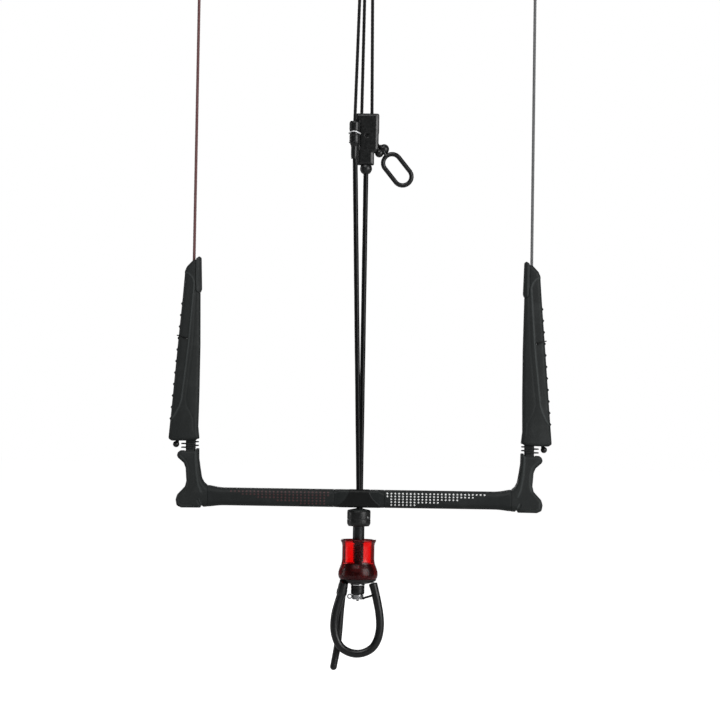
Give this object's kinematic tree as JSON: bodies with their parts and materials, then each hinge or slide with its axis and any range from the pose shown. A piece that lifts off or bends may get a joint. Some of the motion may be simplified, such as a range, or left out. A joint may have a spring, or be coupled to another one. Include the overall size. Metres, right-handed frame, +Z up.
{
  "type": "kitesurf control bar",
  "caption": "Kitesurf control bar with moulded ends, floats and steering lines, a centre line with trim cleat and swivel, and a quick release with hook loop.",
  "frame": {"origin": "middle of the chicken loop's opening, where the rider's harness hook sits; the bar's axis is 178 mm above it", "axes": "+Z up the lines towards the kite, +X along the bar to the right as seen from the front, +Y away from that view"},
  "size_m": [0.5306, 0.0546, 1.0094],
  "materials": {
    "carbon_tube": "resin-bonded fibre tube, satin",
    "hub_plastic": "smooth moulded, semi-gloss",
    "slider_plastic": "low-friction acetal, satin",
    "steel": "stainless, brushed",
    "bright_steel": "stainless, polished",
    "spring_steel": "black spring wire",
    "black_metal": "black hard-anodised",
    "ring_metal": "black anodised, satin",
    "aluminium_jaws": "anodised, ribbed",
    "grip_rubber": "moulded foam rubber, matte, printed dots",
    "end_rubber": "moulded soft rubber, matte",
    "bumper_rubber": "smooth rubber, satin",
    "float_foam": "moulded closed-cell foam skin, matte",
    "black_plastic": "moulded nylon, satin",
    "loop_plastic": "polyurethane, semi-gloss",
    "red_sleeve": "clear red polycarbonate, gloss",
    "red_line": "braided line, dull red-brown",
    "grey_line": "braided line, grey",
    "black_cord": "braided cord, black",
    "sheathed_line": "smooth plastic-coated line, black"
  },
  "bodies": {
    "centre_line": {"depower_line": "sheathed_line", "flag_line_sheath": "sheathed_line", "lower_stop_ball": "black_plastic", "bar_bumper": "bumper_rubber", "swivel_collar": "black_plastic", "collar_base": "black_plastic", "swivel_bearing": "steel", "trim_housing_front": "black_plastic", "trim_housing_rear": "black_plastic", "trim_cleat_jaws": "aluminium_jaws", "trim_housing_screws": "steel", "flag_collar_lower": "black_plastic", "flag_collar_upper": "black_plastic", "flag_line_upper": "black_cord"},
    "hub_slider": {"hub_insert": "slider_plastic"},
    "bar": {"core_tubes": "carbon_tube", "hub_shell_front": "hub_plastic", "hub_shell_rear": "hub_plastic", "bar_screws": "steel", "grip_left": "grip_rubber", "grip_right": "grip_rubber", "bar_end_left": "end_rubber", "bar_end_right": "end_rubber", "leader_anchors": "black_cord", "neck_bellows_left": "end_rubber", "neck_bellows_right": "end_rubber"},
    "float_left": {"float_left": "float_foam", "float_cap_left": "float_foam", "steering_line_left": "red_line", "line_keeper_cord_left": "black_cord"},
    "float_right": {"float_right": "float_foam", "float_cap_right": "float_foam", "steering_line_right": "grey_line", "line_keeper_cord_right": "black_cord"},
    "keeper_left": {"keeper_ball_left": "black_plastic"},
    "keeper_right": {"keeper_ball_right": "black_plastic"},
    "release_unit": {"swivel_stem": "black_metal", "flag_line_core": "black_cord", "release_body": "black_plastic", "release_spring": "spring_steel", "release_pins": "steel", "post_rings": "bright_steel", "post_bush": "black_plastic"},
    "release_sleeve": {"release_sleeve": "red_sleeve"},
    "latch": {"latch_lever": "steel"},
    "chicken_loop": {"loop_tube": "loop_plastic", "loop_core_cord": "black_cord", "loop_cuff": "end_rubber", "loop_end_eye": "bright_steel", "keeper_cord": "black_cord", "finger_pin": "steel"},
    "finger": {"retainer_finger": "loop_plastic"},
    "leash_ring": {"leash_eye": "bright_steel"},
    "trim_toggle": {"trim_tail_cord": "black_cord", "trim_ball": "black_plastic"},
    "trim_grip": {"trim_handle": "loop_plastic"},
    "front_line": {"trim_line": "black_cord", "trim_ring": "ring_metal", "front_line_pigtail": "black_cord"},
    "flag_washer": {"flag_wave_ring": "bright_steel"}
  },
  "joints": [
    {"name": "bar_slide", "type": "slide", "parent": "centre_line", "child": "hub_slider", "axis": [-0.012, 0, 0.9999], "range_m": [0, 0.4]},
    {"name": "bar_steer", "type": "hinge", "parent": "hub_slider", "child": "bar", "pos_m": [0, 0, 0.178], "axis": [0, 1, 0], "range_deg": [-12, 12]},
    {"name": "float_left_flex", "type": "hinge", "parent": "bar", "child": "float_left", "pos_m": [-0.2355, 0, 0.248], "axis": [0, 1, 0], "range_deg": [-10, 12], "stiffness_Nm_per_rad": 2, "deforming": ["neck_bellows_left"]},
    {"name": "float_right_flex", "type": "hinge", "parent": "bar", "child": "float_right", "pos_m": [0.2355, 0, 0.248], "axis": [0, -1, 0], "range_deg": [-10, 12], "stiffness_Nm_per_rad": 2, "deforming": ["neck_bellows_right"]},
    {"name": "keeper_left_pull", "type": "slide", "parent": "float_left", "child": "keeper_left", "axis": [-0.4299, 0, -0.9029], "range_m": [0, 0.03]},
    {"name": "keeper_right_pull", "type": "slide", "parent": "float_right", "child": "keeper_right", "axis": [0.4299, 0, -0.9029], "range_m": [0, 0.03]},
    {"name": "release_swivel", "type": "hinge", "parent": "centre_line", "child": "release_unit", "pos_m": [0, 0, 0.1396], "axis": [0, 0, 1], "continuous": true},
    {"name": "sleeve_push", "type": "slide", "parent": "release_unit", "child": "release_sleeve", "axis": [0, 0, 1], "range_m": [0, 0.016], "stiffness_N_per_m": 800, "springref_m": -0.01, "deforming": ["release_spring"]},
    {"name": "latch_swing", "type": "hinge", "parent": "release_unit", "child": "latch", "pos_m": [0.0116, 0, 0.0814], "axis": [0, 1, 0], "range_deg": [0, 14]},
    {"name": "loop_open", "type": "hinge", "parent": "release_unit", "child": "chicken_loop", "pos_m": [-0.02, 0, 0.058], "axis": [0, 1, 0], "range_deg": [0, 75]},
    {"name": "finger_swing", "type": "hinge", "parent": "chicken_loop", "child": "finger", "pos_m": [-0.0209, 0.0125, 0.0516], "axis": [0, 1, 0], "range_deg": [-20, 35]},
    {"name": "leash_spin", "type": "hinge", "parent": "release_unit", "child": "leash_ring", "pos_m": [0, 0, 0.0418], "axis": [0, 0, 1], "continuous": true},
    {"name": "trim_pull", "type": "slide", "parent": "centre_line", "child": "trim_toggle", "axis": [0.6304, 0, -0.7763], "range_m": [0, 0.22]},
    {"name": "trim_handle_spin", "type": "hinge", "parent": "trim_toggle", "child": "trim_grip", "pos_m": [0.0286, 0.0068, 0.65696], "axis": [0.6304, 0, -0.7763], "continuous": true},
    {"name": "trim_take_up", "type": "slide", "parent": "centre_line", "child": "front_line", "axis": [0, 0, -1], "range_m": [0, 0.11], "deforming": ["trim_line"]},
    {"name": "washer_spin", "type": "hinge", "parent": "centre_line", "child": "flag_washer", "pos_m": [-0.0144, -0.0057, 0.686], "axis": [0, 0, 1], "continuous": true}
  ],
  "couplings": [
    {"joint": "latch_swing", "follows": "sleeve_push", "rad_per_m": 15},
    {"joint": "trim_take_up", "follows": "trim_pull", "ratio": 0.5}
  ]
}
